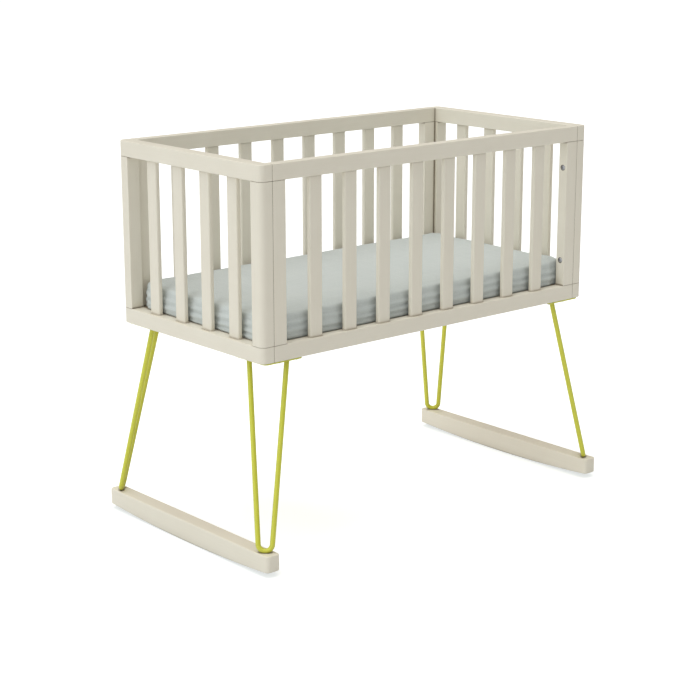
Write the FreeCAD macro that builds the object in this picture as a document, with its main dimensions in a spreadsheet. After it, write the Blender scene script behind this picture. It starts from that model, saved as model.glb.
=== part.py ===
import FreeCAD, Part
import Sketcher
import math
import os

# Rocking baby cradle: a slatted wooden box of four frame panels, screwed to four corner brackets,
# each welded to a splayed hairpin leg of round rod, whose bend stands in a groove of a rocker skid.
# X runs along the cradle, Y across it, Z up; the origin is under the middle, on the floor.

SIZES = (
    # the slatted box
    ("box_length", 864.0),
    ("box_width", 450.0),
    ("panel_height", 366.0),
    ("rail_height", 31.0),
    ("end_thick", 28.0),
    ("side_thick", 22.0),
    ("post_width", 30.0),
    ("stile_width", 30.0),
    ("corner_round", 12.0),
    ("rail_round", 1.5),
    ("post_round", 1.2),
    # slats, and the gap from a post or stile to the first slat
    ("slat_width", 30.0),
    ("slat_thick", 10.0),
    ("slat_round", 3.0),
    ("end_gap", 52.5),
    ("side_gap", 61.0),
    # tenons, and the clearances of their mortises
    ("tenon_length", 12.0),
    ("slat_tenon_width", 24.0),
    ("slat_tenon_thick", 6.0),
    ("post_tenon_width", 18.0),
    ("post_tenon_thick", 10.0),
    ("mortise_gap", 0.15),
    ("mortise_depth", 12.6),
    # panel bolts and their threaded inserts
    ("bolt_spacing", 196.0),
    ("bolt_thread", 6.0),
    ("bolt_hole", 6.6),
    ("bolt_reach", 14.0),
    ("bolt_head", 11.0),
    ("bolt_head_height", 3.5),
    ("bolt_bore", 12.0),
    ("bolt_bore_depth", 3.0),
    ("bolt_socket", 4.0),
    ("bolt_end_gap", 1.0),
    ("insert_outer", 10.0),
    ("insert_length", 14.0),
    ("insert_gap", 0.1),
    # mattress, its base and the battens
    ("batten_size", 15.0),
    ("batten_lift", 5.0),
    ("batten_end_gap", 12.0),
    ("batten_round", 1.0),
    ("base_thick", 9.0),
    ("base_gap", 2.0),
    ("base_corner", 8.0),
    ("vent_length", 80.0),
    ("vent_width", 14.0),
    ("vent_pitch", 108.0),
    ("vent_round", 6.0),
    ("mattress_thick", 56.0),
    ("mattress_end_gap", 2.5),
    ("mattress_side_gap", 3.0),
    ("mattress_lift", 0.3),
    ("mattress_corner", 14.0),
    ("mattress_edge", 10.0),
    ("batten_screw_thread", 4.0),
    ("batten_screw_reach", 13.0),
    ("batten_screw_head", 7.5),
    ("batten_screw_head_height", 2.5),
    ("batten_screw_bore", 8.5),
    ("batten_screw_sink", 3.0),
    # corner brackets, set in from the box's end and side faces
    ("bracket_thick", 3.0),
    ("bracket_arm", 90.0),
    ("bracket_width", 30.0),
    ("bracket_end_inset", 7.0),
    ("bracket_side_inset", 1.5),
    ("bracket_corner", 11.0),
    ("bracket_tip", 6.0),
    ("bracket_crook", 10.0),
    ("bracket_edge", 0.5),
    ("bracket_hole", 5.2),
    ("bracket_screw_thread", 4.5),
    ("bracket_screw_cover", 1.4),
    ("bracket_screw_head", 9.0),
    ("bracket_screw_head_height", 3.0),
    ("bracket_screw_across", 9.5),
    ("bracket_screw_near", 40.0),
    ("bracket_screw_far", 82.0),
    ("crook_over", 5.0),
    # fits of every screw: its pilot hole, and the hexagon socket in its head
    ("pilot_gap", 0.1),
    ("pilot_end", 0.5),
    ("socket_wide", 3.0),
    ("socket_floor", 0.4),
    # hairpin legs
    ("leg_rise", 356.5),
    ("rod", 10.0),
    ("rod_over", 36.0),
    ("rod_proud", 3.0),
    ("leg_bend", 13.5),
    ("leg_spread", 70.6),
    ("leg_lean", 57.5),
    ("foot_out_end", 10.0),
    ("foot_out_side", 13.5),
    # rocker skids
    ("skid_thick", 32.0),
    ("skid_in", 2.0),
    ("skid_height", 42.0),
    ("skid_end", 23.5),
    ("skid_radius", 3600.0),
    ("skid_corner", 8.0),
    ("skid_edge", 2.0),
    ("groove_gap", 0.2),
    ("skid_screw_thread", 5.0),
    ("skid_screw_hole", 5.6),
    ("skid_screw_grip", 8.0),
    ("skid_screw_head", 8.5),
    ("skid_screw_head_height", 4.0),
    ("skid_screw_bore", 9.5),
    ("skid_screw_sink", 20.0),
)

END_SLATS = 4
SIDE_SLATS = 8
VENTS = 7
BATTEN_SCREWS = 4

doc = FreeCAD.newDocument("cradle")
sheet = doc.addObject("Spreadsheet::Sheet", "Sheet")
for row, (alias, value) in enumerate(SIZES, 1):
    sheet.set("A%d" % row, alias)
    sheet.set("B%d" % row, str(value))
    sheet.setAlias("B%d" % row, alias)
doc.recompute()


def size(alias):
    return float(sheet.get(alias))


# Heights of the box's levels above the floor, and of a post or slat between the rails' faces.
BOX_FLOOR = "(Sheet.skid_height + Sheet.leg_rise)"
POST_FOOT = "(%s + Sheet.rail_height)" % BOX_FLOOR
POST_RUN = "(Sheet.panel_height - 2*Sheet.rail_height)"
POST_HEAD = "(%s + %s)" % (POST_FOOT, POST_RUN)
BATTEN_FLOOR = "(%s + Sheet.batten_lift)" % BOX_FLOOR
BASE_FLOOR = "(%s + Sheet.batten_size)" % BATTEN_FLOOR
BED = "(%s + Sheet.base_thick)" % BASE_FLOOR
INSIDE_LONG = "(Sheet.box_length - 2*Sheet.end_thick)"
INSIDE_WIDE = "(Sheet.box_width - 2*Sheet.side_thick)"

# A bracket screw stops short of the mortises above it.
BRACKET_BITE = "(Sheet.rail_height - Sheet.mortise_depth - Sheet.bracket_screw_cover)"

# name, turn about Z, length, thickness, upright width, slats, first gap, middle plane from the origin
PANELS = (
    ("end_left", 90, "Sheet.box_width", "Sheet.end_thick", "Sheet.post_width", END_SLATS,
     "Sheet.end_gap", "(Sheet.box_length/2 - Sheet.end_thick/2)"),
    ("end_right", -90, "Sheet.box_width", "Sheet.end_thick", "Sheet.post_width", END_SLATS,
     "Sheet.end_gap", "(Sheet.box_length/2 - Sheet.end_thick/2)"),
    ("side_front", 180, INSIDE_LONG, "Sheet.side_thick", "Sheet.stile_width", SIDE_SLATS,
     "Sheet.side_gap", "(Sheet.box_width/2 - Sheet.side_thick/2)"),
    ("side_back", 0, INSIDE_LONG, "Sheet.side_thick", "Sheet.stile_width", SIDE_SLATS,
     "Sheet.side_gap", "(Sheet.box_width/2 - Sheet.side_thick/2)"),
)
PARTS = []


# ---- small builders ----

def keep(item, label):
    item.Label = label
    PARTS.append(item)
    return item


def place(item, turn, along, out, up, flip=None):
    """Put a piece at (along, out, up) of a frame that is turned about Z; each is an expression."""
    spin = FreeCAD.Rotation(FreeCAD.Vector(0, 0, 1), turn)
    if flip is not None:
        spin = spin.multiply(flip)
    item.Placement = FreeCAD.Placement(FreeCAD.Vector(0, 0, 0), spin)
    cos = round(math.cos(math.radians(turn)))
    sin = round(math.sin(math.radians(turn)))
    item.setExpression(".Placement.Base.x", "%d*(%s) - %d*(%s)" % (cos, along, sin, out))
    item.setExpression(".Placement.Base.y", "%d*(%s) + %d*(%s)" % (sin, along, cos, out))
    item.setExpression(".Placement.Base.z", up)


def body(name):
    return doc.addObject("PartDesign::Body", name)


def sketch_on(owner, role, offset=None):
    plane = [item for item in owner.Origin.OriginFeatures if item.Role == role][0]
    sketch = owner.newObject("Sketcher::SketchObject", owner.Name + "_sketch")
    sketch.AttachmentSupport = (plane, [""])
    sketch.MapMode = "FlatFace"
    if offset is not None:
        sketch.setExpression(".AttachmentOffset.Base.z", offset)
    return sketch


def bound(sketch, kind, refs, value, formula):
    index = sketch.addConstraint(Sketcher.Constraint(kind, *refs, value))
    name = "size%d" % index
    sketch.renameConstraint(index, name)
    sketch.setExpression("Constraints." + name, formula)


def rectangle(sketch, wide, tall, across="0", up="0"):
    """A rectangle of wide by tall, centred on (across, up)."""
    corners = [FreeCAD.Vector(x, y, 0) for x, y in ((-5, -5), (5, -5), (5, 5), (-5, 5))]
    first = sketch.GeometryCount
    for k in range(4):
        sketch.addGeometry(Part.LineSegment(corners[k], corners[(k + 1) % 4]), False)
    for k in range(4):
        sketch.addConstraint(Sketcher.Constraint("Coincident", first + k, 2, first + (k + 1) % 4, 1))
        kind = "Vertical" if k % 2 else "Horizontal"
        sketch.addConstraint(Sketcher.Constraint(kind, first + k))
    bound(sketch, "DistanceX", (first, 1, first, 2), 10.0, wide)
    bound(sketch, "DistanceY", (first + 1, 1, first + 1, 2), 10.0, tall)
    bound(sketch, "DistanceX", (-1, 1, first, 1), -5.0, "%s - (%s)/2" % (across, wide))
    bound(sketch, "DistanceY", (-1, 1, first, 1), -5.0, "%s - (%s)/2" % (up, tall))


def circle(sketch, across, up, diameter):
    index = sketch.addGeometry(Part.Circle(FreeCAD.Vector(1, 1, 0), FreeCAD.Vector(0, 0, 1), 1.0), False)
    bound(sketch, "Radius", (index,), 1.0, "(%s)/2" % diameter)
    bound(sketch, "DistanceX", (-1, 1, index, 3), 1.0, across)
    bound(sketch, "DistanceY", (-1, 1, index, 3), 1.0, up)


def pad(owner, sketch, length, back=False, middle=False):
    item = owner.newObject("PartDesign::Pad", owner.Name + "_pad")
    item.Profile = sketch
    item.setExpression("Length", length)
    item.Reversed = back
    if middle:
        item.SideType = "Symmetric"
    return item


def pocket(owner, sketch, depth, back=False):
    """A cut to a depth; it has to take material away."""
    doc.recompute()
    before = owner.Shape.Volume
    item = owner.newObject("PartDesign::Pocket", owner.Name + "_pocket")
    item.Profile = sketch
    item.setExpression("Length", depth)
    item.Reversed = back
    doc.recompute()
    if not owner.Shape.Volume < before:
        raise ValueError("a pocket of %s cuts nothing" % owner.Name)
    return item


def fillet(owner, radius, test):
    """Round the edges of the body so far that pass the test."""
    doc.recompute()
    tip = owner.Tip
    names = ["Edge%d" % n for n, edge in enumerate(tip.Shape.Edges, 1) if test(edge)]
    item = owner.newObject("PartDesign::Fillet", owner.Name + "_fillet")
    item.Base = (tip, names)
    item.setExpression("Radius", radius)
    doc.recompute()
    return item


def upright(edge):
    box = edge.BoundBox
    return box.XLength < 0.001 and box.YLength < 0.001


def level(edge):
    return edge.BoundBox.ZLength < 0.001


def at(edge, x_sign, y_sign):
    middle = edge.BoundBox.Center
    return upright(edge) and middle.x * x_sign >= 0 and middle.y * y_sign >= 0


def cylinder(name, diameter, length):
    item = doc.addObject("Part::Cylinder", name)
    item.setExpression("Radius", "(%s)/2" % diameter)
    item.setExpression("Height", length)
    return item


def screw(name, head, head_height, thread, length, socket):
    """A screw whose head seats on z = 0 and whose shank points down, with a hexagon socket."""
    top = cylinder(name + "_head", head, head_height)
    shank = cylinder(name + "_shank", thread, length)
    shank.setExpression(".Placement.Base.z", "-(%s)" % length)
    whole = doc.addObject("Part::Fuse", name + "_blank")
    whole.Base = top
    whole.Tool = shank
    key = doc.addObject("Part::Prism", name + "_key")
    key.Polygon = 6
    key.setExpression("Circumradius", "(%s)/2" % socket)
    key.setExpression("Height", head_height)
    key.setExpression(".Placement.Base.z", "(%s)*Sheet.socket_floor" % head_height)
    item = doc.addObject("Part::Cut", name)
    item.Base = whole
    item.Tool = key
    return item


def group(label, items):
    item = doc.addObject("Part::Compound", label)
    item.Links = items
    return keep(item, label)


FLIP = FreeCAD.Rotation(FreeCAD.Vector(1, 0, 0), 180)


# ---- the four frame panels ----

def rail(label, on_top, run, thick, mortises, bracket_holes, batten_holes, rounded):
    """A rail along local X, outside towards +Y, with its mortised face on z = 0."""
    owner = body(label)
    outline = sketch_on(owner, "XY_Plane")
    rectangle(outline, run, thick)
    pad(owner, outline, "Sheet.rail_height", back=not on_top)
    if rounded:
        fillet(owner, "Sheet.corner_round", lambda edge: at(edge, 0, 1))
        fillet(owner, "Sheet.rail_round", lambda edge: level(edge) or at(edge, 0, -1))
    else:
        fillet(owner, "Sheet.rail_round", lambda edge: True)
    sockets = sketch_on(owner, "XY_Plane")
    for along, wide, deep in mortises:
        rectangle(sockets, wide, deep, across=along)
    pocket(owner, sockets, "Sheet.mortise_depth", back=on_top)
    if bracket_holes:
        pilots = sketch_on(owner, "XY_Plane", "-Sheet.rail_height")
        for along, out in bracket_holes:
            circle(pilots, along, out, "Sheet.bracket_screw_thread + 2*Sheet.pilot_gap")
        pocket(owner, pilots, BRACKET_BITE + " + Sheet.pilot_end", back=True)
    if batten_holes:
        pilots = sketch_on(owner, "XZ_Plane", "(%s)/2" % thick)
        for along, up in batten_holes:
            circle(pilots, along, up, "Sheet.batten_screw_thread + 2*Sheet.pilot_gap")
        pocket(owner, pilots, "Sheet.batten_screw_reach + Sheet.pilot_end")
    return keep(owner, label)


def standing(label, wide, thick):
    """An upright piece between two rails: its shoulders are at z = 0 and at the rails' distance."""
    owner = body(label)
    outline = sketch_on(owner, "XY_Plane")
    rectangle(outline, wide, thick)
    pad(owner, outline, POST_RUN)
    return owner


def tenons(owner, wide, thick):
    foot = sketch_on(owner, "XY_Plane")
    rectangle(foot, wide, thick)
    pad(owner, foot, "Sheet.tenon_length", back=True)
    head = sketch_on(owner, "XY_Plane", POST_RUN)
    rectangle(head, wide, thick)
    pad(owner, head, "Sheet.tenon_length")
    doc.recompute()


def bolt_heights():
    return ["(%s/2 + %d*Sheet.bolt_spacing/2)" % (POST_RUN, side) for side in (-1, 1)]


def make_slat(label):
    owner = standing(label, "Sheet.slat_width", "Sheet.slat_thick")
    fillet(owner, "Sheet.slat_round", upright)
    tenons(owner, "Sheet.slat_tenon_width", "Sheet.slat_tenon_thick")
    return keep(owner, label)


def make_post(label, side):
    """End post; its outer edge is rounded, and its inner face holds the bolts' inserts."""
    owner = standing(label, "Sheet.post_width", "Sheet.end_thick")
    fillet(owner, "Sheet.corner_round", lambda edge: at(edge, side, 1))
    fillet(owner, "Sheet.post_round",
           lambda edge: level(edge) or at(edge, 0, -1) or at(edge, -side, 1) and not at(edge, side, 1))
    tenons(owner, "Sheet.post_tenon_width", "Sheet.post_tenon_thick")
    holes = sketch_on(owner, "XZ_Plane", "Sheet.end_thick/2")
    for height in bolt_heights():
        circle(holes, "%d*(Sheet.post_width - Sheet.side_thick)/2" % side, height, "Sheet.insert_outer")
    pocket(owner, holes, "Sheet.insert_length + Sheet.insert_gap")
    return keep(owner, label)


def make_stile(label, side):
    """Side stile; two bolts pass through it lengthways of the cradle into the end post."""
    owner = standing(label, "Sheet.stile_width", "Sheet.side_thick")
    fillet(owner, "Sheet.post_round", lambda edge: True)
    tenons(owner, "Sheet.post_tenon_width", "Sheet.post_tenon_thick")
    inner = "%d*Sheet.stile_width/2" % -side
    for diameter, depth in (("Sheet.bolt_hole", "Sheet.stile_width"),
                            ("Sheet.bolt_bore", "Sheet.bolt_bore_depth")):
        holes = sketch_on(owner, "YZ_Plane", inner)
        for height in bolt_heights():
            circle(holes, "0", height, diameter)
        pocket(owner, holes, depth, back=side > 0)
    return keep(owner, label)


def slat_pitch(count, run, post, gap):
    return "(%s - 2*%s - 2*%s - Sheet.slat_width)/%d" % (run, post, gap, count - 1)


def spread(count, pitch):
    """Where pieces at an even pitch stand along a panel, about its middle."""
    return ["(%s*%s)" % (pitch, k - (count - 1) / 2) for k in range(count)]


bolts = []
inserts = []
for name, turn, run, thick, post, count, gap, middle in PANELS:
    is_end = name.startswith("end")
    pitch = slat_pitch(count, run, post, gap)
    places = spread(count, pitch)
    post_at = ["(%d*(%s/2 - %s/2))" % (side, run, post) for side in (-1, 1)]
    post_socket = ("Sheet.post_tenon_width + 2*Sheet.mortise_gap",
                   "Sheet.post_tenon_thick + 2*Sheet.mortise_gap")
    slat_socket = ("Sheet.slat_tenon_width + 2*Sheet.mortise_gap",
                   "Sheet.slat_tenon_thick + 2*Sheet.mortise_gap")
    mortises = [(along,) + slat_socket for along in places] + [(along,) + post_socket for along in post_at]
    # a bracket's place is measured from the box's own corner, and its screws' from the plate's
    if is_end:
        to_plate, from_face = run + "/2 - Sheet.bracket_side_inset", "Sheet.bracket_end_inset"
    else:
        to_plate, from_face = "Sheet.box_length/2 - Sheet.bracket_end_inset", "Sheet.bracket_side_inset"
    bracket_holes = []
    for side in (-1, 1):
        for step in ("Sheet.bracket_screw_near", "Sheet.bracket_screw_far"):
            bracket_holes.append(("%d*(%s - %s)" % (side, to_plate, step),
                                  "%s/2 - %s - Sheet.bracket_screw_across" % (thick, from_face)))
    batten_holes = []
    if not is_end:
        # every second gap between the slats, so that no batten screw is under a tenon
        for along in spread(BATTEN_SCREWS, "2*" + pitch):
            batten_holes.append((along, "Sheet.batten_lift + Sheet.batten_size/2 - Sheet.rail_height"))
    bottom = rail(name + "_bottom_rail", False, run, thick, mortises, bracket_holes, batten_holes, is_end)
    place(bottom, turn, "0", middle, POST_FOOT)
    top = rail(name + "_top_rail", True, run, thick, mortises, [], [], is_end)
    place(top, turn, "0", middle, POST_HEAD)
    for number, along in enumerate(places, 1):
        place(make_slat("%s_slat_%d" % (name, number)), turn, along, middle, POST_FOOT)
    for side, along in zip((-1, 1), post_at):
        hand = "a" if side < 0 else "b"
        if is_end:
            piece = make_post("%s_post_%s" % (name, hand), side)
        else:
            piece = make_stile("%s_stile_%s" % (name, hand), side)
        place(piece, turn, along, middle, POST_FOOT)
        for number, height in enumerate(bolt_heights()):
            tag = "%s_%s%d" % (name, hand, number)
            up = "%s + %s" % (POST_FOOT, height)
            if is_end:
                sleeve = cylinder("sleeve_" + tag, "Sheet.insert_outer - 2*Sheet.insert_gap",
                                  "Sheet.insert_length")
                thread = cylinder("thread_" + tag, "Sheet.bolt_thread + 2*Sheet.pilot_gap",
                                  "Sheet.insert_length")
                insert = doc.addObject("Part::Cut", "insert_" + tag)
                insert.Base = sleeve
                insert.Tool = thread
                lay = FreeCAD.Rotation(FreeCAD.Vector(1, 0, 0), -90)
                place(insert, turn, "%d*(Sheet.box_width - Sheet.side_thick)/2" % side,
                      "Sheet.box_length/2 - Sheet.end_thick", up, lay)
                inserts.append(insert)
            else:
                bolt = screw("bolt_" + tag, "Sheet.bolt_head", "Sheet.bolt_head_height",
                             "Sheet.bolt_thread",
                             "Sheet.stile_width - Sheet.bolt_bore_depth + Sheet.bolt_reach"
                             " - Sheet.bolt_end_gap",
                             "Sheet.bolt_socket")
                lay = FreeCAD.Rotation(FreeCAD.Vector(0, 1, 0), -90 * side)
                seat = "%d*(%s/2 - Sheet.stile_width + Sheet.bolt_bore_depth)" % (side, run)
                place(bolt, turn, seat, middle, up, lay)
                bolts.append(bolt)
group("panel_bolts", bolts)
group("threaded_inserts", inserts)


# ---- battens, mattress base and mattress ----

batten_screws = []
for name, turn, run, thick, post, count, gap, middle in PANELS[2:]:
    batten = body(name + "_batten")
    outline = sketch_on(batten, "XY_Plane")
    rectangle(outline, INSIDE_LONG + " - 2*Sheet.batten_end_gap", "Sheet.batten_size")
    pad(batten, outline, "Sheet.batten_size")
    fillet(batten, "Sheet.batten_round", lambda edge: True)
    stations = spread(BATTEN_SCREWS, "2*" + slat_pitch(count, run, post, gap))
    for diameter, depth in (("Sheet.batten_screw_thread + 2*Sheet.pilot_gap", "Sheet.batten_size"),
                            ("Sheet.batten_screw_bore", "Sheet.batten_screw_sink")):
        holes = sketch_on(batten, "XZ_Plane", "Sheet.batten_size/2")
        for along in stations:
            circle(holes, along, "Sheet.batten_size/2", diameter)
        pocket(batten, holes, depth)
    keep(batten, name + "_batten")
    place(batten, turn, "0", INSIDE_WIDE + "/2 - Sheet.batten_size/2", BATTEN_FLOOR)
    for number, along in enumerate(stations):
        item = screw("batten_screw_%s%d" % (name, number), "Sheet.batten_screw_head",
                     "Sheet.batten_screw_head_height", "Sheet.batten_screw_thread",
                     "Sheet.batten_size - Sheet.batten_screw_sink + Sheet.batten_screw_reach",
                     "Sheet.socket_wide")
        place(item, turn, along, INSIDE_WIDE + "/2 - Sheet.batten_size + Sheet.batten_screw_sink",
              BATTEN_FLOOR + " + Sheet.batten_size/2", FreeCAD.Rotation(FreeCAD.Vector(1, 0, 0), 90))
        batten_screws.append(item)
group("batten_screws", batten_screws)

base = body("mattress_base")
outline = sketch_on(base, "XY_Plane")
BASE_WIDE = INSIDE_WIDE + " - 2*Sheet.base_gap"
rectangle(outline, INSIDE_LONG + " - 2*Sheet.base_gap", BASE_WIDE)
pad(base, outline, "Sheet.base_thick")
fillet(base, "Sheet.base_corner", upright)
vents = sketch_on(base, "XY_Plane", "Sheet.base_thick")
for k in range(VENTS):
    for row in (-1, 1):
        rectangle(vents, "Sheet.vent_length", "Sheet.vent_width",
                  across="%d*Sheet.vent_pitch" % (k - VENTS // 2), up="%d*(%s)/4" % (row, BASE_WIDE))
pocket(base, vents, "Sheet.base_thick")
half = size("vent_pitch") * VENTS / 2
fillet(base, "Sheet.vent_round", lambda edge: upright(edge) and abs(edge.BoundBox.Center.x) < half)
keep(base, "mattress_base")
place(base, 0, "0", "0", BASE_FLOOR)

mattress = body("mattress")
outline = sketch_on(mattress, "XY_Plane")
rectangle(outline, INSIDE_LONG + " - 2*Sheet.mattress_end_gap", INSIDE_WIDE + " - 2*Sheet.mattress_side_gap")
pad(mattress, outline, "Sheet.mattress_thick")
fillet(mattress, "Sheet.mattress_corner", upright)
fillet(mattress, "Sheet.mattress_edge", level)
keep(mattress, "mattress")
place(mattress, 0, "0", "0", BED + " + Sheet.mattress_lift")


# ---- brackets, hairpin legs and rocker skids ----

rise = size("leg_rise") - size("bracket_thick") - size("rod_proud")
lean = size("leg_lean")
tilt = math.atan(math.sqrt(2) * lean / rise)
slope = rise / math.cos(tilt)
bend = size("leg_bend")
reach = math.hypot(size("leg_spread") / 2, slope - bend)
taper = math.atan((size("leg_spread") / 2) / (slope - bend)) - math.asin(bend / reach)
WORLD_UP = FreeCAD.Rotation(FreeCAD.Vector(1, 0, 0), math.degrees(tilt) - 90)


def hairpin(name, diameter):
    """Rod bent to a U, in its own plane: the bend's lowest middle is at the origin, the rods go up Y."""
    curve = doc.addObject("Part::Torus", name + "_bend")
    curve.setExpression("Radius1", "Sheet.leg_bend")
    curve.setExpression("Radius2", "(%s)/2" % diameter)
    curve.Angle3 = 180 - 2 * math.degrees(taper)
    curve.Placement = FreeCAD.Placement(FreeCAD.Vector(0, bend, 0),
                                        FreeCAD.Rotation(FreeCAD.Vector(0, 0, 1),
                                                         math.degrees(taper) - 180))
    pieces = [curve]
    for side in (-1, 1):
        rod = cylinder("%s_rod%d" % (name, side + 1), diameter, "Sheet.leg_rise + Sheet.rod_over")
        foot = FreeCAD.Vector(side * bend * math.cos(taper), bend - bend * math.sin(taper), 0)
        way = FreeCAD.Vector(side * math.sin(taper), math.cos(taper), 0)
        rod.Placement = FreeCAD.Placement(foot, FreeCAD.Rotation(FreeCAD.Vector(0, 0, 1), way))
        pieces.append(rod)
    whole = doc.addObject("Part::MultiFuse", name)
    whole.Shapes = pieces
    return whole


def stand(item, x_sign, y_sign):
    """Turn a hairpin's plane square to the corner's diagonal, leaning in, with its bend on the skid."""
    level_way = FreeCAD.Vector(-y_sign, x_sign, 0).normalize()
    up_way = FreeCAD.Vector(-x_sign * lean, -y_sign * lean, rise).normalize()
    foot = FreeCAD.Vector(x_sign * (size("box_length") / 2 + size("foot_out_end")),
                          y_sign * (size("box_width") / 2 + size("foot_out_side")),
                          size("skid_height") + size("rod_proud"))
    item.Placement = FreeCAD.Placement(foot, FreeCAD.Rotation(level_way, up_way,
                                                              level_way.cross(up_way), "ZYX"))


def make_leg(label, x_sign, y_sign):
    rods = hairpin(label + "_hairpin", "Sheet.rod")
    over = doc.addObject("Part::Box", label + "_over")
    for side in ("Length", "Width", "Height"):
        over.setExpression(side, "Sheet.leg_rise")
    half_side = size("leg_rise") / 2
    shift = WORLD_UP.multVec(FreeCAD.Vector(0, 0, rise))
    corner = WORLD_UP.multVec(FreeCAD.Vector(-half_side, -half_side, 0))
    over.Placement = FreeCAD.Placement(shift + corner, WORLD_UP)
    hole = cylinder(label + "_hole", "Sheet.skid_screw_thread + 2*Sheet.pilot_gap",
                    "Sheet.rod/2 + Sheet.skid_screw_grip + Sheet.pilot_end")
    hole.Placement = FreeCAD.Placement(WORLD_UP.multVec(FreeCAD.Vector(0, 0, -size("rod"))), WORLD_UP)
    tools = doc.addObject("Part::MultiFuse", label + "_tools")
    tools.Shapes = [over, hole]
    leg = doc.addObject("Part::Cut", label)
    leg.Base = rods
    leg.Tool = tools
    doc.recompute()
    stand(leg, x_sign, y_sign)
    return keep(leg, label)


def make_bracket(label):
    """An L of plate, its outer corner on the origin and its arms along +X and +Y."""
    owner = body(label)
    outline = sketch_on(owner, "XY_Plane")
    rectangle(outline, "Sheet.bracket_arm", "Sheet.bracket_arm",
              across="Sheet.bracket_arm/2", up="Sheet.bracket_arm/2")
    pad(owner, outline, "Sheet.bracket_thick", back=True)
    crook = sketch_on(owner, "XY_Plane")
    free = "(Sheet.bracket_arm - Sheet.bracket_width + Sheet.crook_over)"
    centre = "(Sheet.bracket_width + Sheet.bracket_arm + Sheet.crook_over)/2"
    rectangle(crook, free, free, across=centre, up=centre)
    pocket(owner, crook, "Sheet.bracket_thick")
    near = size("bracket_width") / 2
    tip = size("bracket_arm") - 0.01
    fillet(owner, "Sheet.bracket_corner",
           lambda edge: upright(edge) and max(edge.BoundBox.XMin, edge.BoundBox.YMin) < 0.01)
    fillet(owner, "Sheet.bracket_crook",
           lambda edge: upright(edge) and near < min(edge.BoundBox.XMin, edge.BoundBox.YMin)
           and max(edge.BoundBox.XMin, edge.BoundBox.YMin) < tip)
    fillet(owner, "Sheet.bracket_tip",
           lambda edge: upright(edge) and max(edge.BoundBox.XMin, edge.BoundBox.YMin) > tip)
    fillet(owner, "Sheet.bracket_edge", level)
    holes = sketch_on(owner, "XY_Plane")
    for step in ("Sheet.bracket_screw_near", "Sheet.bracket_screw_far"):
        circle(holes, step, "Sheet.bracket_screw_across", "Sheet.bracket_hole")
        circle(holes, "Sheet.bracket_screw_across", step, "Sheet.bracket_hole")
    pocket(owner, holes, "Sheet.bracket_thick")
    return keep(owner, label)


def make_skid(label, x_sign):
    """A straight-topped board on its edge along Y, with a rocking arc below, a little inside the bends."""
    board = body(label + "_board")
    outline = sketch_on(board, "YZ_Plane")
    half_run = size("box_width") / 2 + size("foot_out_side") + size("skid_end")
    height = size("skid_height")
    radius = size("skid_radius")
    lift = radius - math.sqrt(radius ** 2 - half_run ** 2)
    points = [FreeCAD.Vector(x, y, 0) for x, y in ((-half_run, height), (half_run, height),
                                                   (half_run, lift), (-half_run, lift))]
    outline.addGeometry(Part.LineSegment(points[0], points[1]), False)
    outline.addGeometry(Part.LineSegment(points[1], points[2]), False)
    outline.addGeometry(Part.Arc(points[3], FreeCAD.Vector(0, 0, 0), points[2]), False)
    outline.addGeometry(Part.LineSegment(points[3], points[0]), False)
    arc = outline.Geometry[2]
    right = 1 if arc.StartPoint.x > 0 else 2
    for first, second in (((0, 2), (1, 1)), ((1, 2), (2, right)), ((2, 3 - right), (3, 1)),
                          ((3, 2), (0, 1))):
        outline.addConstraint(Sketcher.Constraint("Coincident", *first, *second))
    outline.addConstraint(Sketcher.Constraint("Horizontal", 0))
    outline.addConstraint(Sketcher.Constraint("Vertical", 1))
    outline.addConstraint(Sketcher.Constraint("Vertical", 3))
    outline.addConstraint(Sketcher.Constraint("PointOnObject", 2, 3, -2))
    bound(outline, "DistanceX", (0, 1, 0, 2), 2 * half_run,
          "Sheet.box_width + 2*Sheet.foot_out_side + 2*Sheet.skid_end")
    bound(outline, "DistanceX", (-1, 1, 0, 2), half_run,
          "Sheet.box_width/2 + Sheet.foot_out_side + Sheet.skid_end")
    bound(outline, "DistanceY", (-1, 1, 0, 2), height, "Sheet.skid_height")
    bound(outline, "DistanceY", (-1, 1, 2, 3), radius, "Sheet.skid_radius")
    bound(outline, "Radius", (2,), radius, "Sheet.skid_radius")
    pad(board, outline, "Sheet.skid_thick", middle=True)
    fillet(board, "Sheet.skid_corner", upright)
    fillet(board, "Sheet.skid_edge", lambda edge: not upright(edge))
    foot = "(Sheet.box_width/2 + Sheet.foot_out_side)"
    for diameter, depth in (("Sheet.skid_screw_hole", "Sheet.skid_height"),
                            ("Sheet.skid_screw_bore", "Sheet.skid_screw_sink")):
        holes = sketch_on(board, "XY_Plane")
        for side in (-1, 1):
            circle(holes, "%d*Sheet.skid_in" % x_sign, "%d*%s" % (side, foot), diameter)
        pocket(board, holes, depth, back=True)
    place(board, 0, "%d*(Sheet.box_length/2 + Sheet.foot_out_end - Sheet.skid_in)" % x_sign, "0", "0")
    grooves = []
    for y_sign in (-1, 1):
        groove = hairpin("%s_groove%d" % (label, y_sign + 1), "Sheet.rod + 2*Sheet.groove_gap")
        doc.recompute()
        stand(groove, x_sign, y_sign)
        grooves.append(groove)
    tools = doc.addObject("Part::MultiFuse", label + "_grooves")
    tools.Shapes = grooves
    skid = doc.addObject("Part::Cut", label)
    skid.Base = board
    skid.Tool = tools
    return keep(skid, label)


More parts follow.
